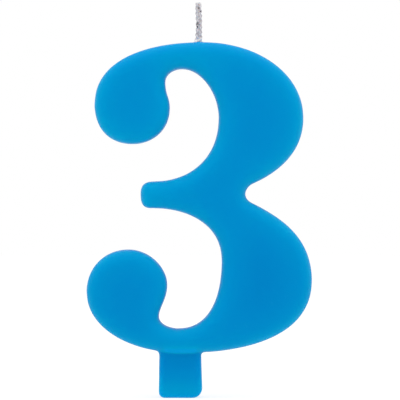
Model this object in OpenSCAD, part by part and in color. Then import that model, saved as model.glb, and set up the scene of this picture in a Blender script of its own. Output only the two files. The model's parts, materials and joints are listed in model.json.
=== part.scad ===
// Number birthday candle: a cast wax numeral 3 with an insertion tab and a plaited cotton wick.
// Millimetres. X runs across the numeral, Y through its thickness, Z up.
// The origin is the centre of the tab's end, which goes down into the cake.

/* [Numeral] */
// Thickness of the numeral, front to back
numeral_t = 9; // [8:0.5:14]
// Radius of the rounding along the numeral's front and back edges
edge_r = 1.7; // [1:0.1:1.7]

/* [Insertion tab] */
// Width of the tab
tab_w = 8.4; // [7:0.1:9]
// Thickness of the tab, front to back
tab_t = 6; // [5:0.5:7]
// Radius of the tab's lower left corner
tab_left_r = 1.1; // [0.5:0.1:2]
// Radius of the tab's lower right corner
tab_right_r = 1.9; // [0.5:0.1:2.5]
// Radius of the tab's four upright edges
tab_edge_r = 1.2; // [0.5:0.1:2]
// Radius of the fillet between the tab's left side and the numeral
tab_fillet_r = 1; // [0.5:0.1:1.5]

/* [Wick] */
// Length of wick that stands out of the wax
wick_out = 8; // [6:0.5:15]
// Length of wick inside the wax
wick_in = 14; // [8:1:20]
// Diameter of one cotton thread
thread_d = 0.18; // [0.14:0.01:0.18]
// Length of one full turn of the plait
plait_pitch = 3.2; // [3:0.1:5]

/* [Drawing] */
// Straight steps along each curve of the outline
curve_steps = 9; // [6:1:10]
// Length of each straight step along a thread of the wick
thread_step = 0.3; // [0.25:0.05:0.4]

/* [Hidden] */
STRANDS = ["a", "b", "c"];
THREADS = [1, 2, 3];

WAX = "#008cc8";
COTTON = "#d6d3d6";

// ---- Outline of the numeral ----
// Each knot is [x, z, heading, handle in, handle out]. The outline runs clockwise from the top.
// Heading is the way it travels there, in degrees anticlockwise from +X.
KNOTS = [
    [4.6, 70.9, 0, 12.2, 11.3],     // crown of the top stroke
    [24.6, 55.8, -90, 8.6, 7.4],    // right side of the upper bowl
    [14.4, 42.7, -156, 4.8, 0.7],   // into the waist notch
    [13, 40.6, -90, 0.9, 0.8],      // bottom of the waist notch
    [14.2, 38.9, -26, 0.6, 7.2],    // out of the waist notch
    [26.3, 23.4, -90, 8.2, 9],      // right side of the lower bowl
    [0.6, 9, 180, 17, 10.8],        // underside of the bottom stroke
    [-18.6, 21.2, 90, 7.2, 4.8],    // left side of the lower ball
    [-10.3, 29.5, 0, 4.7, 4.4],     // top of the lower ball
    [-2.6, 22.5, -90, 3.2, 2.8],    // right side of the lower ball
    [-4.3, 16.2, -90, 1.6, 1.5],    // tip of the lower counter
    [-0.3, 13.7, 0, 2, 6],          // bottom of the lower counter
    [8.4, 27.4, 90, 7.8, 7],        // right side of the lower counter
    [-5.6, 37.9, 180, 7.6, 1.25],   // underside of the middle bar
    [-7.8, 40.4, 90, 1.3, 1.4],     // end of the middle bar
    [-5.4, 43.1, 0, 1.35, 8.2],     // top of the middle bar
    [7.8, 55.8, 90, 7.3, 5.2],      // right side of the upper counter
    [0.5, 65.7, 180, 3.6, 2],       // top of the upper counter
    [-3, 63, -90, 1.5, 2.6],        // tip of the upper counter
    [-2.1, 57.8, -90, 2.2, 4.2],    // right side of the upper ball
    [-9.5, 50.7, 180, 4.2, 4.6],    // bottom of the upper ball
    [-17, 58.6, 90, 4.9, 8.4],      // left side of the upper ball
];

function heading(angle) = [cos(angle), sin(angle)];
function unit(v) = v / norm(v);

function bezier(p0, p1, p2, p3, t) =
    pow(1 - t, 3) * p0 + 3 * t * pow(1 - t, 2) * p1 + 3 * t * t * (1 - t) * p2 + pow(t, 3) * p3;

function bezier_slope(p0, p1, p2, p3, t) =
    pow(1 - t, 2) * (p1 - p0) + 2 * t * (1 - t) * (p2 - p1) + t * t * (p3 - p2);

// Points from knot a towards knot b, moved inwards, which is to the right of the way it travels.
function knot_curve(a, b, inset) =
    let (p0 = [a[0], a[1]], p3 = [b[0], b[1]])
    let (p1 = p0 + a[4] * heading(a[2]), p2 = p3 - b[3] * heading(b[2]))
    [for (i = [0:curve_steps - 1])
        let (t = i / curve_steps, along = unit(bezier_slope(p0, p1, p2, p3, t)))
        bezier(p0, p1, p2, p3, t) + inset * [along[1], -along[0]]];

function outline(inset) =
    [for (i = [0:len(KNOTS) - 1]) each knot_curve(KNOTS[i], KNOTS[(i + 1) % len(KNOTS)], inset)];

// ---- Route of the wick ----
// It goes straight down from the crown, bends towards the right, and runs on through the wax.
// Distances along it are measured up from the surface of the wax, so they are negative inside.
wick_x = 3.7;                       // where the wick leaves the wax
crown_z = 70.9;
straight_in = 1.2;                  // straight stretch below the surface
bend_r = 2.4;
bend_turn = 70;
bend_x = wick_x + bend_r;           // centre of the bend
bend_z = crown_z - straight_in;
bend_length = bend_r * bend_turn * PI / 180;
run_length = wick_in - straight_in - bend_length;

function bend_angle(s) = min(bend_turn, max(0, -s - straight_in) / bend_r * 180 / PI);

function wick_centre(s) =
    s >= -straight_in ? [wick_x, 0, crown_z + s] :
    let (a = bend_angle(s), run = max(0, -s - straight_in - bend_length))
    [bend_x - bend_r * cos(a) + run * sin(a), 0, bend_z - bend_r * sin(a) - run * cos(a)];

// Direction across the wick, in the plane of the numeral.
function wick_side(s) = [cos(bend_angle(s)), 0, sin(bend_angle(s))];

// ---- Plait of three strands, each of three twisted threads ----
plait_half_w = 0.38;                // how far a strand's centre swings to each side
plait_half_d = 0.37;                // how far it swings to front and back
flare_w = 0.25;                     // extra swing where the wick leaves the wax
flare_length = 1;                   // height at which most of it has gone
twist_r = 0.12;                     // from a strand's centre to its threads' centres
twist_pitch = 2.5;
thread_sides = 6;
small = 0.01;                       // step for working out directions

function strand_centre(strand, s) =
    let (phase = 360 * (s / plait_pitch + strand / len(STRANDS)))
    let (swing = plait_half_w + flare_w * exp(-pow(s / flare_length, 2)))
    wick_centre(s) + swing * cos(phase) * wick_side(s) + [0, plait_half_d * sin(2 * phase), 0];

function thread_centre(strand, thread, s) =
    let (along = unit(strand_centre(strand, s + small) - strand_centre(strand, s - small)))
    let (e1 = unit(cross(along, [0, 1, 0])), e2 = cross(along, e1))
    let (twist = 360 * (s / twist_pitch + thread / len(THREADS)))
    strand_centre(strand, s) + twist_r * (cos(twist) * e1 + sin(twist) * e2);

function thread_ring(strand, thread, s) =
    let (centre = thread_centre(strand, thread, s))
    let (along = unit(thread_centre(strand, thread, s + small) - centre))
    let (e1 = unit(cross(along, [0, 1, 0])), e2 = cross(along, e1))
    [for (i = [0:thread_sides - 1])
        let (angle = 360 * i / thread_sides)
        centre + thread_d / 2 * (cos(angle) * e1 + sin(angle) * e2)];

// ---- Bend of the wick ----
// The upper threads turn about an axis along Y through the pivot. They reach down into a
// round seat, and the lower threads stop just outside it.
pivot_out = 1.2;                    // height of the pivot above the wax
seat_r = 0.8;
seat_gap = 0.2;
pivot = [wick_x, 0, crown_z + pivot_out];

function from_pivot(p) = norm([p[0] - pivot[0], p[2] - pivot[2]]);

// Distance along the wick at which a thread, followed upwards from s, comes within r of the pivot.
function seat_start(strand, thread, r, s) =
    s >= pivot_out || from_pivot(thread_centre(strand, thread, s)) <= r ? s :
    seat_start(strand, thread, r, s + small);

module thread_tube(strand, thread, from, to) {
    steps = ceil((to - from) / thread_step);
    points = [for (i = [0:steps]) each thread_ring(strand, thread, from + (to - from) * i / steps)];
    sides = [for (i = [0:steps - 1], j = [0:thread_sides - 1])
        let (k = (j + 1) % thread_sides, low = i * thread_sides, high = low + thread_sides)
        [low + j, high + j, high + k, low + k]];
    low_end = [for (j = [0:thread_sides - 1]) j];
    high_end = [for (j = [thread_sides - 1:-1:0]) steps * thread_sides + j];
    polyhedron(points, concat([low_end, high_end], sides));
}

module wick_thread_lower(strand, thread) {
    color(COTTON)
        thread_tube(strand, thread, -wick_in, seat_start(strand, thread, seat_r + seat_gap, 0));
}

module wick_thread_upper(strand, thread) {
    color(COTTON)
        thread_tube(strand, thread, seat_start(strand, thread, seat_r, 0), wick_out);
}

// ---- Wax casting ----
channel_r = 0.75;                   // hollow that the wick fills
mouth_r = 1;                        // and its wider mouth at the crown
channel_past = 0.1;                 // how far the hollow reaches past the wick's inner end
tab_top = 11;                       // the tab runs up into the bottom stroke
tab_under = 9.6;                    // height of the stroke's underside at the tab's left
overlap = 0.5;
edge_steps = 5;                     // straight steps round the numeral's rounded edges

// Stands a drawing in X and Z upright, and gives it a thickness centred on Y = 0.
module upright(thickness) {
    rotate([90, 0, 0])
        linear_extrude(thickness, center = true)
            children();
}

// Triangles that fill a clockwise outline, made by cutting off one corner after another.
function turn(a, b, c) = cross(b - a, c - b);

function inside(p, a, b, c) = turn(a, b, p) <= 0 && turn(b, c, p) <= 0 && turn(c, a, p) <= 0;

function corner(loop, i) =
    let (n = len(loop))
    [loop[(i + n - 1) % n], loop[i], loop[(i + 1) % n]];

function can_cut(points, loop, i) =
    let (n = len(loop), ids = corner(loop, i))
    let (a = points[ids[0]], b = points[ids[1]], c = points[ids[2]])
    turn(a, b, c) < 0 &&
    len([for (j = [2:n - 2]) if (inside(points[loop[(i + j) % n]], a, b, c)) j]) == 0;

function without(list, i) = [for (j = [0:len(list) - 1]) if (j != i) list[j]];

function fill(points, loop, i, triangles) =
    len(loop) == 3 ? concat(triangles, [loop]) :
    can_cut(points, loop, i) ?
        fill(points, without(loop, i), i % (len(loop) - 1), concat(triangles, [corner(loop, i)])) :
    fill(points, loop, (i + 1) % len(loop), triangles);

// The numeral's side is a stack of outlines, one in front of the other, which draw in towards
// the back and the front round a quarter circle.
module numeral() {
    half = numeral_t / 2 - edge_r;
    turns = [for (i = [0:edge_steps]) 90 * i / edge_steps];
    depths = concat([for (a = turns) half + edge_r * cos(a)], [for (a = turns) -half - edge_r * sin(a)]);
    insets = concat([for (a = turns) edge_r * (1 - sin(a))], [for (a = turns) edge_r * (1 - cos(a))]);
    points = [for (i = [0:len(depths) - 1], p = outline(insets[i])) [p[0], depths[i], p[1]]];
    count = len(KNOTS) * curve_steps;
    front = (len(depths) - 1) * count;
    cap = fill(outline(edge_r), [for (j = [0:count - 1]) j], 0, []);
    back_faces = [for (t = cap) [t[2], t[1], t[0]]];
    front_faces = [for (t = cap) [front + t[0], front + t[1], front + t[2]]];
    side_faces = [for (i = [0:len(depths) - 2], j = [0:count - 1])
        let (k = (j + 1) % count, low = i * count, high = low + count)
        [low + j, low + k, high + k, high + j]];
    polyhedron(points, concat(back_faces, front_faces, side_faces));
}

module tab_outline() {
    difference() {
        translate([-tab_w / 2, 0]) square([tab_w, tab_top]);
        corner_waste(-tab_w / 2, tab_left_r, 1);
        corner_waste(tab_w / 2, tab_right_r, -1);
    }
}

// What a rounded corner takes off a square one, at height 0. inward is 1 on the left.
module corner_waste(x, r, inward) {
    translate([x, 0])
        scale([inward, 1])
            difference() {
                translate([-overlap, -overlap]) square(r + overlap);
                translate([r, r]) circle(r, $fn = 48);
            }
}

// Cross-section of the tab, seen from above.
module tab_section() {
    half = [tab_w / 2 - tab_edge_r, tab_t / 2 - tab_edge_r];
    union() {
        square([tab_w, 2 * half[1]], center = true);
        square([2 * half[0], tab_t], center = true);
        for (x = [-1, 1], y = [-1, 1])
            translate([x * half[0], y * half[1]]) circle(tab_edge_r, $fn = 48);
    }
}

module tab_fillet() {
    translate([-tab_w / 2, 0, tab_under - tab_fillet_r])
        upright(tab_t - 2 * tab_edge_r)
            difference() {
                translate([-tab_fillet_r, 0]) square([tab_fillet_r + overlap, tab_fillet_r + overlap]);
                translate([-tab_fillet_r, 0]) circle(tab_fillet_r, $fn = 48);
            }
}

module tab() {
    intersection() {
        upright(tab_t) tab_outline();
        linear_extrude(tab_top) tab_section();
    }
    tab_fillet();
}

module wick_hollow() {
    translate([wick_x, 0, bend_z])
        cylinder(h = straight_in + overlap, r1 = channel_r,
                 r2 = mouth_r + (mouth_r - channel_r) * overlap / straight_in, $fn = 48);
    translate([bend_x, 0, bend_z])
        rotate([90, 0, 0])
            rotate([0, 0, 180])
                rotate_extrude(angle = bend_turn, $fn = 96)
                    translate([bend_r, 0]) circle(channel_r, $fn = 48);
    translate(wick_centre(-straight_in - bend_length))
        rotate([0, 180 - bend_turn, 0])
            cylinder(h = run_length + channel_past, r = channel_r, $fn = 48);
}

module wax_numeral() {
    color(WAX)
        difference() {
            union() {
                numeral();
                tab();
            }
            wick_hollow();
        }
}

wax_numeral();
for (strand = [0:2], thread = [0:2]) {
    name = str("wick_thread_", STRANDS[strand], THREADS[thread]);
    wick_thread_lower(strand, thread);
    wick_thread_upper(strand, thread);
}
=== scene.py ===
"""Number birthday candle: the looks of a cast wax numeral 3 with a plaited cotton wick.

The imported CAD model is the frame, and everything is in metres in its axes: +Z up towards the wick, and
-Y the front.
"""
import json
import math

import bmesh
import bpy
import numpy as np
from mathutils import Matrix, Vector, noise
from mathutils.geometry import delaunay_2d_cdt
from mathutils.kdtree import KDTree

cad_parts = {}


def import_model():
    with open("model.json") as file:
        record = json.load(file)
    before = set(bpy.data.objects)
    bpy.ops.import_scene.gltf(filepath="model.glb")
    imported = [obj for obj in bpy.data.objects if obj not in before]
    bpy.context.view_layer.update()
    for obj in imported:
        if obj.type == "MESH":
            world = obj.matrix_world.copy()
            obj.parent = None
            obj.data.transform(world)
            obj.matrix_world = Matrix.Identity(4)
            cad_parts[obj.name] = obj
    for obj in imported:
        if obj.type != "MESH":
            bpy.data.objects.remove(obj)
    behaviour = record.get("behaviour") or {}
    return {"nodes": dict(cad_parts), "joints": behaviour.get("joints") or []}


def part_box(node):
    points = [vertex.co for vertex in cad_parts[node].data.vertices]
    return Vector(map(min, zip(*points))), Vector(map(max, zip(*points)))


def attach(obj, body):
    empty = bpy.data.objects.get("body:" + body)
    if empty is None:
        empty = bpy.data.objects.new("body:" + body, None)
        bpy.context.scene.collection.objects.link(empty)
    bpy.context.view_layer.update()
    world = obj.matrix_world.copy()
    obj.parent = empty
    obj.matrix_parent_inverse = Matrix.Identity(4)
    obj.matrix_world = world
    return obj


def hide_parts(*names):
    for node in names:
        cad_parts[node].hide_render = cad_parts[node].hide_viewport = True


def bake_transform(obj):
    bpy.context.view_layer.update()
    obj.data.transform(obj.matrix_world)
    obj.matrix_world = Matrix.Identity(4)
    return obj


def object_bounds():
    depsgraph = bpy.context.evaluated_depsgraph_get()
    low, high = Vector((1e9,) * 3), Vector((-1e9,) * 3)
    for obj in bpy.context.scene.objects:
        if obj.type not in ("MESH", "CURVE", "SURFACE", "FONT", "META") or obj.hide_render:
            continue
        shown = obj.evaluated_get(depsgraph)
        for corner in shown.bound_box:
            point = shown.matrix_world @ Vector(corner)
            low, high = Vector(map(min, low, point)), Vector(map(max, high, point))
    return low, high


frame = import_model()
cad_low, cad_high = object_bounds()

MM = 0.001

# ---------------------------------------------------------------- sizes from the frame
wax_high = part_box("wax_numeral")[1]
hinge = frame["joints"][0]              # the wick's bend, which is the only joint
CROWN_Z = wax_high.z                    # top of the numeral, where the wick comes out
WICK_X = hinge["pos_m"][0]
WICK_TIP_Z = cad_high.z
HALF_T = wax_high.y                     # half the numeral's thickness

# ---------------------------------------------------------------- shape of the wax casting
TAB_LEFT_X = -4.22 * MM                 # at the lower end; the tab narrows a little upwards
TAB_RIGHT_X = 4.43 * MM
TAB_LEFT_TOP_X = -4.1 * MM
TAB_RIGHT_TOP_X = 4.18 * MM
TAB_HALF_T = 3.0 * MM
TAB_TOP = 11.0 * MM                     # the tab runs up into the bottom stroke
TAB_LEFT_R = 1.1 * MM                   # lower corners
TAB_RIGHT_R = 1.9 * MM
TAB_FILLET_R = 1.0 * MM                 # between the tab's left side and the numeral
TAB_UNDER = 9.6 * MM                    # height of the stroke's underside at the tab's left
TAB_RIM = 1.0 * MM                      # rounding of the tab's edges
SECTION_Y = 3.1 * MM                    # a plane just in front of the tab cuts the numeral alone
SECTION_INSET = 0.07 * MM               # how far the rim has already turned in there
BAR_END_Z = (37 * MM, 44 * MM)          # the free end of the middle bar lies between these heights
BAR_END_REACH = 2.4 * MM                # how far its rounding reaches from the tip
BAR_END_HALF = 2.5 * MM                 # half its height
BAR_END_SQUARE = 2.8                    # 2 is round, and more is squarer
UNDER_DROP = 0.32 * MM                  # the stroke comes this much lower where the tab joins it
OVER_TAB_FADE = 1.6 * MM                # which fades out over this distance at the tab's sides
OUTLINE_STEP = 0.45 * MM
OUTLINE_FINE = 8                        # points of the smooth curve between two of the section's points
LEAST_TURN = 0.01                       # radians
ARC_POINTS = 9
RIM = 2.7 * MM                          # width of the rounded rim
RIM_RINGS = (14, 28, 42, 56, 70, 82, 92)    # rows of points across the rim, as degrees of its turn
RING_LEAST = 0.96                       # a row's points nearer the outline than this share are left out
RIM_POWER = 2.4                         # its section: 2 is an ellipse, and more is fuller
WALL = 1.9 * MM                         # half height of the upright part of the rim
WALL_ROWS = 8
FACE = 4.02 * MM                        # half thickness just inside the rim of a thin stroke
FACE_SPACING = 0.8 * MM                 # between the points of a flat face
TAB_SPACING = 0.6 * MM
DOME_REACH = 3.2 * MM                   # how fast the face rises away from the rim
DOME_TOP = 0.72                         # the deepest value of the dome field, at full thickness
DOME_CELL = 0.3 * MM
DOME_ROUNDS = 900                       # enough for the field to settle
COLLAR_R = 1.5 * MM                     # wax drawn up round the wick
COLLAR_H = 0.22 * MM
COLLAR_SUNK = 0.6 * MM                  # how deep its foot lies in the casting
COLLAR_PROFILE = [(0.42, 1.0), (0.6, 0.45), (0.8, 0.1), (1.0, -0.1)]    # shares of its radius and height
COLLAR_SIDES = 40
VOXEL = 0.27 * MM
SMOOTHING = 4
SETTLE_MOST = 0.4 * MM                  # a point further than this from the exact shape stays where it is
JOIN_ABOVE = 1.3 * MM                   # round the tab's top, the skin keeps its blend this far out
JOIN_LEFT = 1.8 * MM
JOIN_RIGHT = 1.0 * MM
JOIN_FRONT = 0.4 * MM
JOIN_BELOW = 0.9 * MM
JOIN_WICK_R = 1.8 * MM                  # and round the wick
JOIN_WICK_DOWN = 1.0 * MM
JOIN_FADE = 0.6 * MM
JOIN_FRONT_FADE = 0.4 * MM
JOIN_BELOW_FADE = 0.5 * MM
NUMERAL_BELOW = 1.5 * MM                # further down than this, all of it is tab
WAVE = 0.035 * MM                       # height of the cast surface's slow waves
WAVE_SCALES = (140, 420)                # waves for each metre, roughly
WAVE_SINK = 0.6                         # the waves lie mostly below the exact shape
SEAM_H = 0.075 * MM                     # parting line round the rim
SEAM_W = 0.2 * MM

# ---------------------------------------------------------------- how thick the wax looks, with painted light and shade
# Below 0 is painted light, and above 1 painted shade.
TAB_END_PAINTED_LIGHT = -0.7                    # painted light at the tab's end
TAB_TOP_PAINTED_SHADE = 1.28                   # and painted shade under the numeral, which overhangs the tab
TAB_PAINTED_SHADE_RISE = 7.5 * MM               # height at which the painted shade is deepest
TAB_SIDE_PAINTED_LIGHT = 0.4                     # how much painted light lies along the tab's sides
TAB_SIDE_WIDTH = 1.4 * MM
HEIGHT_PAINTED_LIGHT = 0.2                       # painted light towards the numeral's top, and painted shade towards its bottom
UNDER_PAINTED_LIGHT = 0.3                        # painted light where its rim looks down
CROWN_PAINTED_SHADE = 0.9                       # painted shade where the crown's rim looks up
CROWN_REACH = 14 * MM                   # how far down from the top that begins
LIP_PAINTED_LIGHT = 1.0                          # painted light along the stroke's edge just over the tab
LIP_HEIGHT = 1.2 * MM
WALL_PAINTED_SHADE = 1.35                       # painted shade on the upright wall
WALL_FROM = 2.3 * MM                    # the wall's painted shade fades out between these distances
WALL_TO = 3.3 * MM                      # from the parting line

# ---------------------------------------------------------------- wick
WICK_IN = 14.0 * MM                     # length inside the wax: straight down, a bend, and straight on
STRAIGHT_IN = 1.2 * MM
BEND_R = 2.4 * MM
BEND_TURN = math.radians(70)
WICK_BOW = 0.11 * MM                    # the free end bows a little to one side, and back at its tip
WICK_BOW_LENGTH = 6.9 * MM
PLAIT_HALF_W = 0.41 * MM
PLAIT_HALF_D = 0.31 * MM
PLAIT_PITCH = 3.2 * MM
FLARE_W = 0.27 * MM                     # the plait spreads where it leaves the wax
FLARE_LENGTH = 1.0 * MM
TIP_GATHER = 0.24                       # the tip is pinched together by the wax
TIP_LENGTH = 0.7 * MM
STRANDS = ["a", "b", "c"]
THREADS = [1, 2, 3]
TWIST_R = 0.12 * MM                     # threads round their strand's middle
TWIST_PITCH = 2.5 * MM
THREAD_R = 0.13 * MM                    # cotton swells a little past its bare thread
THREAD_STEP = 0.09 * MM
THREAD_SIDES = 10
THREAD_UNEVEN = ((0.07, 0.31 * MM), (0.05, 0.83 * MM))  # share of the radius, and length of its waves
THREAD_SHORT = 0.02 * MM                # the threads end this far below the wick's height
THREAD_RAGGED = 0.18                    # and up to this many more millimetres
THREAD_END = 1.2                        # length of a thread's rounded end, in its radii
FIBRE_R = 0.016 * MM
FIBRE_COUNT = 6
FIBRE_SIDES = 5
FIBRE_POINTS = 6
TIP_FIBRES = 3
TIP_FIBRE = (0.08, 0.35)                # length in millimetres, and how far it leans out
LOOSE_FIBRE = (0.22, 0.7)
WAX_HALF_W = 0.5 * MM                   # the wax that fills the plait
WAX_HALF_D = 0.24 * MM
WAX_IN = 1.0 * MM
WAX_SHORT = 0.05 * MM
WAX_STEP = 0.1 * MM
WAX_SIDES = 20
WAX_FLARE = 0.95                        # share of the plait's flare
WAX_END = 0.5 * MM                      # length of its rounded end
WAX_KNOTS = 0.04                        # share by which it is thicker at the plait's crossings
SEED = 3
PAINTED_SHADE_SPOTS = [(-0.28 * MM, 3.86 * MM, 0.4 * MM), (-0.3 * MM, 3.15 * MM, 0.34 * MM),
         (0.02 * MM, 6.95 * MM, 0.28 * MM), (0.42 * MM, 6.3 * MM, 0.28 * MM)]   # x, height and radius of dark spots of painted shade
SPOT_Y = -0.45 * MM
SPOT_EDGE = 0.3 * MM

# ---------------------------------------------------------------- colours
# painted light: the palest blue, where the value goes below 0
WAX_PAINTED_LIGHT = (0.0, 0.335, 0.68, 1)
# thin wax, which also stands in for painted light along the rims
WAX_THIN_AND_PAINTED_RIM_LIGHT = (0.0, 0.317, 0.572, 1)
# thick wax, also painted shade in the middle of a thick stroke's face
WAX_THICK_AND_PAINTED_FACE_SHADE = (0.0, 0.242, 0.540, 1)
# painted shade: the deepest blue, where the value goes above 1
WAX_PAINTED_SHADE = (0.0, 0.177, 0.487, 1)
WAX_CLOUD = (0.0, 0.227, 0.53, 1)
WAX_FLECK = (0.02, 0.31, 0.60, 1)
COTTON_DARK = (0.40, 0.385, 0.41, 1)
COTTON_LIGHT = (0.68, 0.66, 0.69, 1)
COTTON_STAIN = (0.26, 0.24, 0.27, 1)
PRIMING_LIGHT = (0.66, 0.64, 0.66, 1)
# painted shade along the wick's edges
WICK_EDGE_PAINTED_SHADE = (0.27, 0.25, 0.28, 1)
# painted shade in the wick's dark spots
WICK_SPOT_PAINTED_SHADE = (0.09, 0.08, 0.09, 1)
WICK_ROOT = (0.93, 0.86, 0.82, 1)

# ---------------------------------------------------------------- studio
CAMERA_PLACE = (0.004, -0.6, 0.03946)
CAMERA_LENS = 270.0                     # millimetres, as is the sensor
SENSOR_WIDTH = 36.0
FLOOR_HALF = 1.5
LIGHT_AIM = (0.004, 0, 0.04)
LIGHTS = [("top_softbox", (0.0, -0.09, 0.34), (0.4, 0.3), 0.48),
          ("left_back_softbox", (-0.4, 0.25, 0.12), (0.3, 0.5), 0.14),
          ("right_back_softbox", (0.4, 0.25, 0.12), (0.3, 0.5), 0.14)]    # place, size and watts


# ---------------------------------------------------------------- small helpers
def new_object(name, vertices, faces, smooth=True):
    """A mesh object in the scene."""
    mesh = bpy.data.meshes.new(name)
    mesh.from_pydata([tuple(v) for v in vertices], [], [tuple(f) for f in faces])
    mesh.update()
    obj = bpy.data.objects.new(name, mesh)
    bpy.context.scene.collection.objects.link(obj)
    if smooth:
        mesh.polygons.foreach_set("use_smooth", [True] * len(mesh.polygons))
    return obj


def outward(obj):
    """Turns every face of a closed mesh outwards."""
    bm = bmesh.new()
    bm.from_mesh(obj.data)
    bmesh.ops.recalc_face_normals(bm, faces=bm.faces)
    bm.to_mesh(obj.data)
    bm.free()


def smoothstep(low, high, value):
    """0 at low and 1 at high, with a smooth rise or fall between them. low may be the larger."""
    t = np.clip((value - low) / (high - low), 0, 1)
    return t * t * (3 - 2 * t)


# ---------------------------------------------------------------- flat outlines, (x, z)
def cad_section(node, y):
    """The closed line along which the plane at y cuts a CAD node."""
    bm = bmesh.new()
    bm.from_mesh(frame["nodes"][node].data)
    bmesh.ops.remove_doubles(bm, verts=bm.verts, dist=1e-6)
    everything = bm.verts[:] + bm.edges[:] + bm.faces[:]
    cut = bmesh.ops.bisect_plane(bm, geom=everything, plane_co=(0, y, 0), plane_no=(0, 1, 0))
    edges = [e for e in cut["geom_cut"] if isinstance(e, bmesh.types.BMEdge)]
    edge, left = edges[0], set(edges)
    start = vert = edge.verts[0]
    loop = []
    while True:
        loop.append((vert.co.x, vert.co.z))
        left.discard(edge)
        vert = edge.other_vert(vert)
        if vert == start:
            break
        edge = next(e for e in vert.link_edges if e in left)
    bm.free()
    return drop_straight(np.array(loop))


def drop_straight(loop):
    """Leaves out the points where the line doesn't turn, which come from how the faces were split."""
    before, after = loop - np.roll(loop, 1, axis=0), np.roll(loop, -1, axis=0) - loop
    across = before[:, 0] * after[:, 1] - before[:, 1] * after[:, 0]
    turn = across / np.linalg.norm(before, axis=1) / np.linalg.norm(after, axis=1)
    return loop[np.abs(turn) > LEAST_TURN]


def smooth_loop(points, step):
    """A smooth closed curve through the points, as even steps, anticlockwise."""
    t = np.linspace(0, 1, OUTLINE_FINE, endpoint=False)[:, None]
    fine = []
    for i in range(len(points)):
        a, b, c, d = (points[(i + k) % len(points)] for k in (-1, 0, 1, 2))
        fine.append(0.5 * (2 * b + (c - a) * t + (2 * a - 5 * b + 4 * c - d) * t ** 2
                           + (3 * b - a - 3 * c + d) * t ** 3))
    fine = np.concatenate(fine)
    if area(fine) < 0:
        fine = fine[::-1]
    return even_steps(fine, step)


def even_steps(loop, step):
    """The same closed line with its points a step apart."""
    closed = np.vstack([loop, loop[:1]])
    run = np.concatenate([[0], np.cumsum(np.linalg.norm(np.diff(closed, axis=0), axis=1))])
    at = np.linspace(0, run[-1], round(run[-1] / step), endpoint=False)
    return np.stack([np.interp(at, run, closed[:, k]) for k in (0, 1)], 1)


def squarer_bar_end(loop):
    """The middle bar's free end as a rounded square, where the CAD solid has it round."""
    x, z = loop.T
    around = (z > BAR_END_Z[0]) & (z < BAR_END_Z[1])
    tip = loop[around][np.argmin(x[around])]
    u = (tip[0] + BAR_END_REACH - x) / BAR_END_REACH
    v = (z - tip[1]) / BAR_END_HALF
    chosen = around & (u > 0) & (u < 1.1) & (np.abs(v) < 1.15)
    power = BAR_END_SQUARE
    round_size = np.hypot(u, v)
    square_size = (np.abs(u) ** power + np.abs(v) ** power) ** (1 / power)
    grow = np.where(chosen, round_size / np.maximum(square_size, 1e-9), 1)
    centre = np.array([tip[0] + BAR_END_REACH, tip[1]])
    return np.where(chosen[:, None], centre + (loop - centre) * grow[:, None], loop)


def over_tab(x):
    """1 in the middle of the tab's width, smoothly 0 at its sides."""
    from_left = smoothstep(TAB_LEFT_X, TAB_LEFT_X + OVER_TAB_FADE, x)
    return from_left * smoothstep(TAB_RIGHT_X, TAB_RIGHT_X - OVER_TAB_FADE, x)


def lower_over_tab(loop):
    """The stroke's underside drawn down over the tab, which hides all but its front and back edges."""
    x, z = loop.T
    drop = UNDER_DROP * over_tab(x) * (z < TAB_TOP)
    return np.stack([x, z - drop], 1)


def area(loop):
    """Area inside the loop, above 0 where it runs anticlockwise."""
    x, z = loop[:, 0], loop[:, 1]
    return np.sum(x * np.roll(z, -1) - np.roll(x, -1) * z) / 2


def inset(loop, depth):
    """The loop moved inwards by depth along its normals."""
    along = np.roll(loop, -1, axis=0) - np.roll(loop, 1, axis=0)
    along /= np.linalg.norm(along, axis=1)[:, None]
    return loop + depth * np.stack([-along[:, 1], along[:, 0]], 1)


def nearest(points, loop):
    """The nearest place on the loop to each point, and how deep inside the loop the point is."""
    tree = KDTree(len(loop))
    for i, (x, z) in enumerate(loop):
        tree.insert((x, z, 0), i)
    tree.balance()
    corner = np.array([tree.find((x, z, 0))[1] for x, z in points], int)
    best, found = np.full(len(points), np.inf), np.zeros_like(points)
    for first in (corner - 1, corner):
        a, b = loop[first], loop[(first + 1) % len(loop)]
        along = b - a
        t = np.clip(np.sum((points - a) * along, 1) / np.sum(along * along, 1), 0, 1)
        foot = a + t[:, None] * along
        gap = np.linalg.norm(points - foot, axis=1)
        found = np.where((gap < best)[:, None], foot, found)
        best = np.minimum(gap, best)
    inwards = (inset(loop, 1.0) - loop)[corner]
    side = np.where(np.sum((points - found) * inwards, 1) >= 0, 1, -1)
    return found, side * best


def distance(points, loop):
    """How far each point is from the loop."""
    return np.abs(nearest(points, loop)[1])


def inside(points, loop):
    """True for each point that the loop goes round."""
    x1, z1 = loop[:, 0], loop[:, 1]
    x2, z2 = np.roll(x1, -1), np.roll(z1, -1)
    result = np.zeros(len(points), bool)
    batch = 4000
    for i in range(0, len(points), batch):
        x, z = points[i:i + batch, 0, None], points[i:i + batch, 1, None]
        spans = (z1 > z) != (z2 > z)
        with np.errstate(divide="ignore", invalid="ignore"):
            left = x < x1 + (z - z1) * (x2 - x1) / (z2 - z1)
        result[i:i + batch] = np.sum(spans & left, 1) % 2 == 1
    return result


def arc(centre, radius, from_deg, to_deg):
    """Points along a quarter turn or so, in the (x, z) plane."""
    turns = np.radians(np.linspace(from_deg, to_deg, ARC_POINTS))
    return [(centre[0] + radius * math.cos(t), centre[1] + radius * math.sin(t)) for t in turns]


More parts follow.
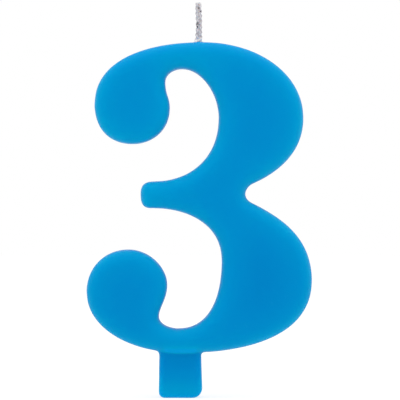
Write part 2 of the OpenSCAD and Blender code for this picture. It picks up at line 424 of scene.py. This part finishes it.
def tab_loop():
    """Outline of the insertion tab: two rounded lower corners, and a fillet at its upper left."""
    corner_left = (TAB_LEFT_X + TAB_LEFT_R, TAB_LEFT_R)
    corner_right = (TAB_RIGHT_X - TAB_RIGHT_R, TAB_RIGHT_R)
    fillet = (TAB_LEFT_TOP_X - TAB_FILLET_R, TAB_UNDER - TAB_FILLET_R)
    loop = arc(corner_left, TAB_LEFT_R, 180, 270) + arc(corner_right, TAB_RIGHT_R, -90, 0)
    loop += [(TAB_RIGHT_TOP_X, TAB_UNDER), (TAB_RIGHT_TOP_X, TAB_TOP)]
    loop += [(TAB_LEFT_TOP_X - TAB_FILLET_R, TAB_TOP)] + arc(fillet, TAB_FILLET_R, 90, 0)
    return even_steps(np.array(loop), OUTLINE_STEP)


# ---------------------------------------------------------------- the dome of the faces
class Dome:
    """A smooth field over the numeral, 0 at the outline and nearer 1 the thicker the stroke."""

    def __init__(self, loop):
        self.low = loop.min(0) - 2 * DOME_CELL
        count = np.ceil((loop.max(0) + 2 * DOME_CELL - self.low) / DOME_CELL).astype(int) + 1
        x, z = np.meshgrid(*(self.low[k] + DOME_CELL * np.arange(count[k]) for k in (0, 1)), indexing="ij")
        points = np.stack([x.ravel(), z.ravel()], 1)
        within = inside(points, loop).reshape(x.shape)
        decay = 4 + (DOME_CELL / DOME_REACH) ** 2
        value = np.where(within, 0.0, 1.0)
        for _ in range(DOME_ROUNDS):
            around = (np.roll(value, 1, 0) + np.roll(value, -1, 0)
                      + np.roll(value, 1, 1) + np.roll(value, -1, 1))
            value = np.where(within, around / decay, 1.0)
        self.field = 1 - value

    def at(self, points):
        """The field at each (x, z) point, read between the cells."""
        place = (points - self.low) / DOME_CELL
        cell = np.clip(np.floor(place).astype(int), 0, np.array(self.field.shape) - 2)
        f, g = np.clip(place - cell, 0, 1).T
        i, j = cell.T
        v = self.field
        return ((1 - f) * (1 - g) * v[i, j] + f * (1 - g) * v[i + 1, j]
                + (1 - f) * g * v[i, j + 1] + f * g * v[i + 1, j + 1])


# ---------------------------------------------------------------- wax casting
def slab(name, loop, rim, wall, top, spacing):
    """A closed solid over the loop: an upright wall, a rounded rim, and faces at height top(points)."""
    points = [loop]
    for degrees in RIM_RINGS:
        depth = rim * (1 - math.cos(math.radians(degrees)))
        ring = inset(loop, depth)
        points.append(ring[(distance(ring, loop) > RING_LEAST * depth) & inside(ring, loop)])
    low, high = loop.min(0), loop.max(0)
    x, z = np.meshgrid(*(np.arange(low[k], high[k], spacing) for k in (0, 1)))
    grid = np.stack([x.ravel(), z.ravel()], 1)
    grid = grid[inside(grid, loop)]
    points.append(grid[distance(grid, loop) > rim + 0.5 * spacing])
    points = np.concatenate(points)
    n = len(loop)
    border = [(i, (i + 1) % n) for i in range(n)]
    flat, _, triangles, *_ = delaunay_2d_cdt([Vector(p) for p in points], border, [], 1, 1e-9)
    flat = np.array(flat)
    gap = distance(flat, loop)
    rise = (1 - (1 - np.clip(gap / rim, 0, 1)) ** RIM_POWER) ** (1 / RIM_POWER)
    half = wall + (top(flat) - wall) * rise
    front = np.stack([flat[:, 0], -half, flat[:, 1]], 1)
    back = np.stack([flat[:, 0], half, flat[:, 1]], 1)
    heights = np.linspace(-wall, wall, WALL_ROWS + 1)[1:-1]
    walls = [np.stack([loop[:, 0], np.full(n, y), loop[:, 1]], 1) for y in heights]
    vertices = np.concatenate([front, back] + walls)
    count = len(flat)
    starts = [0] + [2 * count + k * n for k in range(WALL_ROWS - 1)] + [count]
    faces = [tuple(t) for t in triangles] + [tuple(count + i for i in reversed(t)) for t in triangles]
    for low_row, high_row in zip(starts, starts[1:]):
        for i, j in border:
            faces.append((low_row + i, low_row + j, high_row + j, high_row + i))
    obj = new_object(name, vertices, faces)
    outward(obj)
    return obj


def collar():
    """Wax drawn up round the wick, turned about the wick's axis."""
    profile = [(radius * COLLAR_R, height * COLLAR_H) for radius, height in COLLAR_PROFILE]
    profile.append((COLLAR_R, -COLLAR_SUNK))
    vertices = [(WICK_X, 0, CROWN_Z + COLLAR_H), (WICK_X, 0, CROWN_Z - COLLAR_SUNK)]
    for radius, height in profile:
        for k in range(COLLAR_SIDES):
            turn = math.tau * k / COLLAR_SIDES
            vertices.append((WICK_X + radius * math.cos(turn), radius * math.sin(turn), CROWN_Z + height))
    faces = []
    last = 2 + (len(profile) - 1) * COLLAR_SIDES
    for k in range(COLLAR_SIDES):
        k2 = (k + 1) % COLLAR_SIDES
        faces.append((0, 2 + k, 2 + k2))
        for a in range(2, last, COLLAR_SIDES):
            b = a + COLLAR_SIDES
            faces.append((a + k, b + k, b + k2, a + k2))
        faces.append((1, last + k2, last + k))
    obj = new_object("collar", vertices, faces)
    outward(obj)
    return obj


def fuse(name, parts):
    """One continuous skin round overlapping closed solids, as the wax is one casting."""
    bm = bmesh.new()
    for part in parts:
        bm.from_mesh(part.data)
        bpy.data.objects.remove(part)
    mesh = bpy.data.meshes.new(name)
    bm.to_mesh(mesh)
    bm.free()
    obj = bpy.data.objects.new(name, mesh)
    bpy.context.scene.collection.objects.link(obj)
    skin = obj.modifiers.new("skin", "REMESH")
    skin.mode = "VOXEL"
    skin.voxel_size = VOXEL
    skin.use_smooth_shade = True
    evaluated = obj.evaluated_get(bpy.context.evaluated_depsgraph_get())
    fused = bpy.data.meshes.new_from_object(evaluated)
    obj.modifiers.clear()
    obj.data = fused
    fused.name = name
    return obj


def settle(places, loop, rim, wall, top, share):
    """Moves the skin's points, by their share, onto the exact shape that slab() draws over the loop."""
    chosen = np.nonzero(share > 0)[0]
    flat = places[chosen][:, [0, 2]]
    foot, depth = nearest(flat, loop)
    length = np.abs(depth)
    step = (flat - foot) * (np.sign(depth) / np.maximum(length, 1e-9))[:, None]
    side, height = np.sign(places[chosen, 1]), np.abs(places[chosen, 1])
    rise = top(flat) - wall
    u, v = np.clip(1 - depth / rim, 0, None), np.clip((height - wall) / rise, 0, None)
    size = np.maximum((u ** RIM_POWER + v ** RIM_POWER) ** (1 / RIM_POWER), 1e-9)
    on_wall, on_face = height <= wall, depth >= rim
    new_depth = np.where(on_wall, 0.0, np.where(on_face, depth, rim * (1 - u / size)))
    new_height = np.where(on_wall, height, np.where(on_face, wall + rise, wall + rise * v / size))
    new_flat = flat + step * (new_depth - depth)[:, None]
    moved = np.stack([new_flat[:, 0], side * new_height, new_flat[:, 1]], 1)
    sound = (length > 0.001 * MM) & (np.linalg.norm(moved - places[chosen], axis=1) < SETTLE_MOST)
    part = (share[chosen] * sound)[:, None]
    places[chosen] += part * (moved - places[chosen])


def clear_of_joins(places):
    """Two shares for each point: 1 on the plain numeral and on the plain tab, smoothly 0 at their joins."""
    x, y, z = places.T

    def near(reach, value, fade=JOIN_FADE):
        return smoothstep(reach + fade, reach, value)

    near_tab = near(JOIN_ABOVE, z - TAB_UNDER) * near(JOIN_LEFT, TAB_LEFT_X - x)
    near_tab *= near(JOIN_RIGHT, x - TAB_RIGHT_X)
    near_tab *= near(JOIN_FRONT, np.abs(y) - TAB_HALF_T, JOIN_FRONT_FADE)
    near_wick = near(JOIN_WICK_R, np.hypot(x - WICK_X, y)) * near(JOIN_WICK_DOWN, CROWN_Z - z)
    numeral = (1 - near_tab) * (1 - near_wick) * (z > TAB_UNDER - NUMERAL_BELOW)
    return numeral, 1 - near(JOIN_BELOW, TAB_UNDER - z, JOIN_BELOW_FADE)


def cast_surface(obj, dome, numeral, tab):
    """Smooths the skin and gives it the slow waves, parting line and fine unevenness of a casting."""
    bm = bmesh.new()
    bm.from_mesh(obj.data)
    axes = {"use_axis_x": True, "use_axis_y": True, "use_axis_z": True}
    for _ in range(SMOOTHING):
        bmesh.ops.smooth_vert(bm, verts=bm.verts, factor=0.5, **axes)
    places = np.array([v.co for v in bm.verts], float)
    on_numeral, on_tab = clear_of_joins(places)
    settle(places, *numeral, on_numeral)
    settle(places, *tab, on_tab)
    for v, place in zip(bm.verts, places):
        v.co = place
    bm.normal_update()
    for v in bm.verts:
        across = 1 - abs(v.normal.y)
        broad, fine = (v.co * scale for scale in WAVE_SCALES)
        slow = noise.noise(broad) + 0.5 * noise.noise(fine + Vector((5, 1, 2)))
        lift = WAVE * (slow - WAVE_SINK) * (1 - 0.5 * across)
        lift += SEAM_H * math.exp(-(v.co.y / SEAM_W) ** 2) * across ** 4
        v.co += v.normal * lift
    bm.to_mesh(obj.data)
    bm.free()
    # the wax's thickness together with painted light and shade, which the material turns into colour
    attribute = obj.data.attributes.new("wax_depth_painted_light_and_shade", "FLOAT", "POINT")
    attribute.data.foreach_set("value", depth_with_painted_light_and_shade(obj.data, dome).astype(np.float32))


def depth_with_painted_light_and_shade(mesh, dome):
    """How thick the wax looks at each point, with painted light and shade in it: below 0 is painted light,
    and above 1 painted shade.
    """
    places, normals = (np.empty(len(mesh.vertices) * 3, np.float32) for _ in range(2))
    mesh.vertices.foreach_get("co", places)
    mesh.vertices.foreach_get("normal", normals)
    x, y, z = places.reshape(-1, 3).astype(float).T
    thick, up = np.abs(y), normals[2::3]
    from_side = np.minimum(x - TAB_LEFT_X, TAB_RIGHT_X - x)
    numeral = numeral_depth_painted_light_and_shade(x, z, thick, up, dome)
    tab = tab_painted_light_and_shade(z, from_side)
    on_tab = smoothstep(TAB_UNDER - 0.2 * MM, TAB_UNDER - 0.55 * MM, z)
    on_tab *= smoothstep(TAB_HALF_T + 0.25 * MM, TAB_HALF_T + 0.03 * MM, thick)
    on_tab *= smoothstep(-0.6 * MM, 0, from_side)
    return numeral * (1 - on_tab) + tab * on_tab


def numeral_depth_painted_light_and_shade(x, z, thick, up, dome):
    """Deeper where the stroke is thick and paler along its thin edges, partly as painted light; painted
    shade on its wall, low down and where the crown's rim looks up; painted light high up, where its rim
    looks down and along its edge over the tab.
    """
    on_face = smoothstep(WALL_FROM, WALL_TO, thick)
    depth = dome.at(np.stack([x, z], 1)) / DOME_TOP * on_face + WALL_PAINTED_SHADE * (1 - on_face)
    depth -= HEIGHT_PAINTED_LIGHT * (2 * z / CROWN_Z - 1) + UNDER_PAINTED_LIGHT * np.clip(-up, 0, 1)
    at_crown = smoothstep(CROWN_Z - CROWN_REACH, CROWN_Z, z)
    depth += CROWN_PAINTED_SHADE * at_crown * np.clip(up, 0, 1) * on_face
    depth -= LIP_PAINTED_LIGHT * over_tab(x) * smoothstep(TAB_UNDER + LIP_HEIGHT, TAB_UNDER - 0.2 * MM, z)
    return depth


def tab_painted_light_and_shade(z, from_side):
    """Painted light at the tab's end and along its sides, and painted shade under the numeral."""
    rise = np.sin(np.clip(z / TAB_PAINTED_SHADE_RISE, 0, 1) * math.pi / 2)
    depth = TAB_END_PAINTED_LIGHT + (TAB_TOP_PAINTED_SHADE - TAB_END_PAINTED_LIGHT) * rise
    return depth - TAB_SIDE_PAINTED_LIGHT * smoothstep(TAB_SIDE_WIDTH, 0, from_side)


def wax_body(material):
    """The whole casting: numeral, tab and the collar round the wick, in one skin."""
    outline = smooth_loop(cad_section("wax_numeral", SECTION_Y), OUTLINE_STEP)
    outline = lower_over_tab(squarer_bar_end(inset(outline, -SECTION_INSET)))
    dome = Dome(outline)

    def face(points):
        return FACE + (HALF_T - FACE) * np.clip(dome.at(points) / DOME_TOP, 0, 1)

    def tab_face(points):
        return np.full(len(points), TAB_HALF_T)

    numeral = (outline, RIM, WALL, face)
    tab = (tab_loop(), TAB_RIM, TAB_HALF_T - TAB_RIM, tab_face)
    parts = [slab("numeral", *numeral, FACE_SPACING), slab("tab", *tab, TAB_SPACING), collar()]
    body = fuse("wax_body", parts)
    cast_surface(body, dome, numeral, tab)
    body.data.materials.append(material)
    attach(body, "candle")
    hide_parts("wax_numeral")


# ---------------------------------------------------------------- wick
# s runs along the wick: 0 where it leaves the wax, and above 0 outside.
def bow(s):
    """How far to the right the free end's middle lies."""
    return WICK_BOW * np.sin(math.pi * np.clip(s, 0, None) / WICK_BOW_LENGTH)


def bend_angle(s):
    """How far the buried part has turned aside."""
    return np.clip((-s - STRAIGHT_IN) / BEND_R, 0, BEND_TURN)


def wick_centre(s):
    """The wick's middle line, from its buried end to its tip."""
    a = bend_angle(s)
    run = np.maximum(0, -s - STRAIGHT_IN - BEND_R * BEND_TURN)
    x = WICK_X + bow(s) + BEND_R * (1 - np.cos(a)) + run * np.sin(a)
    z = np.where(s >= -STRAIGHT_IN, CROWN_Z + s,
                 CROWN_Z - STRAIGHT_IN - BEND_R * np.sin(a) - run * np.cos(a))
    return np.stack([x, np.zeros_like(s), z], 1)


def wick_side(s):
    """The direction across the wick in the plait's broad way."""
    a = bend_angle(s)
    return np.stack([np.cos(a), np.zeros_like(s), np.sin(a)], 1)


def gather(s):
    """The share of the plait's width left near the tip."""
    tip = WICK_TIP_Z - CROWN_Z
    return 1 - TIP_GATHER * smoothstep(tip - TIP_LENGTH, tip, s)


def flare(s):
    """How much the plait's half width grows where it leaves the wax."""
    return FLARE_W * np.exp(-(s / FLARE_LENGTH) ** 2)


def rounded_end(s, reach):
    """The share of the radius left over the last stretch of a tube."""
    return np.sqrt(np.clip(1 - ((s - s[-1]) / reach + 1).clip(0, 1) ** 2, 0.02, 1))


def strand_centre(strand, s):
    """One strand of the plait: a figure of eight across the wick, drawn out along it."""
    phase = math.tau * (s / PLAIT_PITCH + strand / len(STRANDS))
    swing = (PLAIT_HALF_W + flare(s)) * gather(s)
    depth = PLAIT_HALF_D * np.sin(2 * phase) * gather(s)
    return (wick_centre(s) + (swing * np.cos(phase))[:, None] * wick_side(s)
            + depth[:, None] * np.array([0, 1, 0]))


def frames(line):
    """Two unit directions across a line at each of its points."""
    along = np.gradient(line, axis=0)
    along /= np.linalg.norm(along, axis=1)[:, None]
    across = np.cross(along, [0, 1, 0])
    across /= np.linalg.norm(across, axis=1)[:, None]
    return across, np.cross(along, across)


def thread_centre(strand, thread, s):
    """One of the threads that wind round their strand's middle."""
    line = strand_centre(strand, s)
    e1, e2 = frames(line)
    twist = math.tau * (s / TWIST_PITCH + thread / len(THREADS))
    return line + TWIST_R * (np.cos(twist)[:, None] * e1 + np.sin(twist)[:, None] * e2)


def tube(line, radius, sides, depth=None):
    """Vertices and faces of a closed tube. It has a radius at each point, and a depth if it is flatter."""
    e1, e2 = frames(line)
    depth = radius if depth is None else depth
    turn = np.arange(sides) * math.tau / sides
    ring = (np.cos(turn)[None, :, None] * (radius[:, None] * e1)[:, None, :]
            + np.sin(turn)[None, :, None] * (depth[:, None] * e2)[:, None, :])
    vertices = (line[:, None, :] + ring).reshape(-1, 3)
    faces = []
    for i in range(len(line) - 1):
        for k in range(sides):
            k2 = (k + 1) % sides
            faces.append((i * sides + k, i * sides + k2, (i + 1) * sides + k2, (i + 1) * sides + k))
    faces.append(tuple(reversed(range(sides))))
    faces.append(tuple((len(line) - 1) * sides + k for k in range(sides)))
    return vertices, faces


def fibres(line, random):
    """Loose fibre ends at the tip and along the thread: short, fine tubes."""
    parts = []
    for k in range(FIBRE_COUNT):
        at_tip = k < TIP_FIBRES
        i = len(line) - 3 if at_tip else random.integers(len(line) // 2, len(line) - 6)
        start = line[i]
        heading = line[i + 1] - line[i]
        heading /= np.linalg.norm(heading)
        aside = random.normal(size=3)
        aside -= heading * aside.dot(heading)
        aside /= np.linalg.norm(aside)
        most, lean = TIP_FIBRE if at_tip else LOOSE_FIBRE
        length = most * MM * random.uniform(0.6, 1.2)
        t = np.linspace(0, 1, FIBRE_POINTS)[:, None]
        path = (start + aside * THREAD_R * 0.6 + length * t * heading
                + length * lean * t ** 2 * aside)
        parts.append(tube(path, np.linspace(FIBRE_R, 0.4 * FIBRE_R, FIBRE_POINTS), FIBRE_SIDES))
    return parts


def join(parts):
    """Vertex and face lists put together as one."""
    vertices, faces, start = [], [], 0
    for v, f in parts:
        vertices.append(v)
        faces += [tuple(start + i for i in face) for face in f]
        start += len(v)
    return np.concatenate(vertices), faces


def wick_piece(name, vertices, faces, material):
    """A piece of the wick as one mesh, with its material."""
    obj = new_object(name, vertices, faces)
    outward(obj)
    obj.data.materials.append(material)
    mark_sides(obj)
    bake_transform(obj)
    return obj


def wick_thread(strand, thread, material):
    """One cotton thread, from its buried end to the tip, which is one piece across the bend."""
    name = f"wick_thread_{STRANDS[strand]}{thread}"
    random = np.random.default_rng(SEED + 10 * strand + thread)
    tip = WICK_TIP_Z - CROWN_Z - THREAD_SHORT - random.uniform(0, THREAD_RAGGED) * MM
    s = np.arange(-WICK_IN, tip, THREAD_STEP)
    line = thread_centre(strand, thread, s)
    phase = random.uniform(0, math.tau, 3)
    uneven = 1
    for start, (share, length) in zip(phase, THREAD_UNEVEN):
        uneven = uneven + share * np.sin(s / length + start)
    radius = THREAD_R * uneven * rounded_end(s, THREAD_END * THREAD_R)
    parts = [tube(line, radius, THREAD_SIDES)] + fibres(line, random)
    obj = wick_piece(name, *join(parts), material)
    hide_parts(name + "_lower", name + "_upper")


def wick_wax(material):
    """The wax that soaks the plait and fills it between the threads."""
    s = np.arange(-WAX_IN, WICK_TIP_Z - CROWN_Z - WAX_SHORT, WAX_STEP)
    end = rounded_end(s, WAX_END) * gather(s)
    knots = 1 + WAX_KNOTS * np.sin(2 * math.tau * s / PLAIT_PITCH)
    wide = (WAX_HALF_W + WAX_FLARE * flare(s)) * end * knots
    wick_piece("wick_wax", *tube(wick_centre(s), wide, WAX_SIDES, WAX_HALF_D * end), material)


def mark_sides(obj):
    """Stores how far each point is from the wick's middle, to the left or right, which the material uses
    for painted shade along the wick's edges.
    """
    places = np.array([v.co for v in obj.data.vertices])
    aside = np.abs(places[:, 0] - WICK_X - bow(places[:, 2] - CROWN_Z))
    attribute = obj.data.attributes.new("wick_aside", "FLOAT", "POINT")
    attribute.data.foreach_set("value", aside.astype(np.float32))


# ---------------------------------------------------------------- materials
class Nodes:
    """A short way to write a material's node tree."""

    def __init__(self, name):
        self.material = bpy.data.materials.new(name)
        self.material.use_nodes = True
        self.tree = self.material.node_tree
        self.shader = self.tree.nodes["Principled BSDF"]

    def shade(self, **inputs):
        """Sets or links sockets of the shader, with _ in a name for a space."""
        for key, value in inputs.items():
            self.put(self.shader, key.replace("_", " "), value)

    def add(self, kind, settings=None, **inputs):
        """A new node, with its settings and its sockets' values or links."""
        node = self.tree.nodes.new(kind)
        for key, value in (settings or {}).items():
            setattr(node, key, value)
        for key, value in inputs.items():
            self.put(node, key.replace("_", " "), value)
        return node

    def put(self, node, key, value):
        """Links the socket if value is one, or else sets it. key is its name or its number."""
        socket = node.inputs[int(key)] if key.isdigit() else node.inputs[key]
        if isinstance(value, bpy.types.NodeSocket):
            self.tree.links.new(value, socket)
        else:
            socket.default_value = value

    def object_place(self):
        return self.add("ShaderNodeTexCoord").outputs["Object"]

    def noise(self, place, scale, detail, roughness=0.5):
        node = self.add("ShaderNodeTexNoise", Vector=place, Scale=scale, Detail=detail, Roughness=roughness)
        return node.outputs["Fac"]

    def ramp(self, value, low, high, to_low=0.0, to_high=1.0):
        """Goes smoothly from to_low to to_high as value goes from low to high."""
        node = self.add("ShaderNodeMapRange", {"interpolation_type": "SMOOTHSTEP"}, Value=value)
        for key, number in (("From Min", low), ("From Max", high), ("To Min", to_low), ("To Max", to_high)):
            node.inputs[key].default_value = number
        return node.outputs["Result"]

    def math(self, operation, a, b):
        node = self.add("ShaderNodeMath", {"operation": operation})
        self.put(node, "0", a)
        self.put(node, "1", b)
        return node.outputs[0]

    def mix(self, share, a, b):
        """Colour a where share is 0, and b where it is 1."""
        node = self.add("ShaderNodeMix", {"data_type": "RGBA"})
        self.put(node, "0", share)
        self.put(node, "6", a)
        self.put(node, "7", b)
        return node.outputs[2]

    def bump(self, height, strength, depth, normal=None):
        node = self.add("ShaderNodeBump", Height=height, Strength=strength, Distance=depth)
        if normal is not None:
            self.put(node, "Normal", normal)
        return node.outputs["Normal"]

    def attribute(self, name):
        return self.add("ShaderNodeAttribute", {"attribute_name": name}).outputs["Fac"]


def wax_material():
    """Blue candle wax: pale where it is thin, as light passes into it and as painted rim light, with other
    painted light and shade in its colour, and satin with fine marks.
    """
    n = Nodes("blue_wax")
    place = n.object_place()
    n.shade(Base_Color=wax_colour(n, place), Normal=wax_marks(n, place))
    smear = n.noise(place, 260.0, 5.0, 0.6)
    n.shade(Roughness=n.ramp(smear, 0.3, 0.7, 0.36, 0.52))
    n.shade(Subsurface_Weight=0.55, Subsurface_Radius=(0.15, 0.7, 1.0), Subsurface_Scale=2.4 * MM)
    n.shade(IOR=1.43, Specular_IOR_Level=0.12, Specular_Tint=(0.05, 0.8, 1.0, 1.0))
    return n.material


def wax_colour(n, place):
    """Four blues by how thick the wax looks, with painted light and shade in that value, and faint clouds
    and flecks of dye.
    """
    depth = n.attribute("wax_depth_painted_light_and_shade")
    # below 0 the colour is painted light, and above 1 painted shade
    base = n.mix(n.ramp(depth, -1.0, -0.1), WAX_PAINTED_LIGHT, WAX_THIN_AND_PAINTED_RIM_LIGHT)
    base = n.mix(n.ramp(depth, -0.2, 1.1), base, WAX_THICK_AND_PAINTED_FACE_SHADE)
    base = n.mix(n.ramp(depth, 0.9, 1.8), base, WAX_PAINTED_SHADE)
    cloud = n.noise(place, 90.0, 3.0, 0.55)
    base = n.mix(n.ramp(cloud, 0.35, 0.75, 0.0, 0.3), base, WAX_CLOUD)
    fleck = n.noise(place, 1500.0, 2.0, 0.6)
    return n.mix(n.ramp(fleck, 0.62, 0.78, 0.0, 0.14), base, WAX_FLECK)


def wax_marks(n, place):
    """Slow ripples, a fine grain and small pits."""
    ripple = n.noise(place, 420.0, 3.0)
    grain = n.noise(place, 3200.0, 2.0)
    pits = n.ramp(n.noise(place, 1100.0, 1.0, 0.4), 0.22, 0.34)
    normal = n.bump(ripple, 0.25, 0.05 * MM)
    normal = n.bump(grain, 0.2, 0.01 * MM, normal)
    return n.bump(pits, 0.25, 0.03 * MM, normal)


def painted_wick_shade_and_root(n, place, base, uneven):
    """The wick's darker outer edges and few dark spots, both painted shade, and its clean root in the wax.
    """
    # painted shade towards the plait's sides
    edge = n.ramp(n.attribute("wick_aside"), 0.38 * MM, 0.62 * MM, 0.0, 0.65)
    base = n.mix(edge, base, WICK_EDGE_PAINTED_SHADE)
    # dark spots of painted shade, at set places on the plait's front
    for x, z, radius in PAINTED_SHADE_SPOTS:
        gap = n.add("ShaderNodeVectorMath", {"operation": "DISTANCE"})
        n.put(gap, "0", place)
        n.put(gap, "1", (WICK_X + x, SPOT_Y, CROWN_Z + z))
        reach = n.math("ADD", gap.outputs["Value"], n.math("MULTIPLY", uneven, SPOT_EDGE))
        base = n.mix(n.ramp(reach, radius, 1.6 * radius, 0.85, 0.0), base, WICK_SPOT_PAINTED_SHADE)
    height = n.add("ShaderNodeSeparateXYZ", Vector=place).outputs["Z"]
    root = n.ramp(height, CROWN_Z + 0.2 * MM, CROWN_Z + 1.7 * MM, 0.85, 0.0)
    return n.mix(root, base, WICK_ROOT)


def cotton_material():
    """Waxed cotton: pale grey fibres wound along the thread, with darker stains."""
    n = Nodes("waxed_cotton")
    place = n.object_place()
    stretched = n.add("ShaderNodeMapping", Vector=place, Scale=(1.0, 1.0, 0.25)).outputs["Vector"]
    fibre = n.noise(stretched, 9000.0, 3.0, 0.6)
    base = n.mix(n.ramp(fibre, 0.3, 0.7), COTTON_DARK, COTTON_LIGHT)
    stain = n.noise(place, 1300.0, 2.0)
    base = n.mix(n.ramp(stain, 0.58, 0.72, 0.0, 0.4), base, COTTON_STAIN)
    n.shade(Base_Color=painted_wick_shade_and_root(n, place, base, stain))
    n.shade(Roughness=n.ramp(fibre, 0.3, 0.7, 0.45, 0.7), Normal=n.bump(fibre, 0.6, 0.02 * MM))
    n.shade(Subsurface_Weight=0.3, Subsurface_Radius=(1.0, 0.95, 0.95), Subsurface_Scale=0.15 * MM)
    n.shade(Specular_IOR_Level=0.3)
    return n.material


def priming_wax_material():
    """The cloudy grey wax that soaks the plait."""
    n = Nodes("wick_priming_wax")
    place = n.object_place()
    tone = n.noise(place, 1600.0, 2.0)
    base = n.mix(n.ramp(tone, 0.35, 0.65), COTTON_DARK, PRIMING_LIGHT)
    n.shade(Base_Color=painted_wick_shade_and_root(n, place, base, tone))
    n.shade(Roughness=n.ramp(tone, 0.3, 0.7, 0.35, 0.55), Normal=n.bump(tone, 0.4, 0.03 * MM))
    n.shade(Subsurface_Weight=0.3, Subsurface_Scale=0.2 * MM)
    return n.material


# ---------------------------------------------------------------- studio
def paper_material():
    """White sweep, which glows a little, so that it stays white with only a faint shadow."""
    n = Nodes("white_sweep")
    n.shade(Base_Color=(0.32, 0.32, 0.32, 1), Roughness=0.9, Specular_IOR_Level=0.0)
    n.shade(Emission_Color=(1, 1, 1, 1), Emission_Strength=0.72)
    return n.material


def floor():
    """A plain pale floor at the tab's end."""
    half = FLOOR_HALF
    corners = [(-half, -half, 0), (half, -half, 0), (half, half, 0), (-half, half, 0)]
    obj = new_object("floor", corners, [(0, 1, 2, 3)], smooth=False)
    obj.data.materials.append(paper_material())


def world():
    """Even white light from all round."""
    scene_world = bpy.data.worlds.new("studio_white")
    scene_world.use_nodes = True
    background = scene_world.node_tree.nodes["Background"]
    background.inputs["Color"].default_value = (1, 1, 1, 1)
    background.inputs["Strength"].default_value = 1.0
    bpy.context.scene.world = scene_world


def soft_light(name, place, size, watts):
    """A rectangular softbox that faces the object."""
    data = bpy.data.lights.new(name, "AREA")
    data.shape = "RECTANGLE"
    data.size, data.size_y = size
    data.energy = watts
    obj = bpy.data.objects.new(name, data)
    bpy.context.scene.collection.objects.link(obj)
    obj.location = place
    obj.rotation_euler = (Vector(LIGHT_AIM) - Vector(place)).to_track_quat("-Z", "Y").to_euler()
    obj.visible_camera = False


def camera():
    """Level, straight at the front, far enough back to flatten the view."""
    data = bpy.data.cameras.new("camera")
    data.sensor_width = SENSOR_WIDTH
    data.lens = CAMERA_LENS
    obj = bpy.data.objects.new("camera", data)
    bpy.context.scene.collection.objects.link(obj)
    obj.location = CAMERA_PLACE
    obj.rotation_euler = (math.pi / 2, 0, 0)
    bpy.context.scene.camera = obj


def studio():
    """Floor, surrounding light and softboxes, with colours shown as they are."""
    floor()
    world()
    for light in LIGHTS:
        soft_light(*light)
    bpy.context.scene.view_settings.view_transform = "Standard"


camera()
studio()
wax_body(wax_material())
cotton = cotton_material()
for strand in range(len(STRANDS)):
    for thread in THREADS:
        wick_thread(strand, thread, cotton)
wick_wax(priming_wax_material())
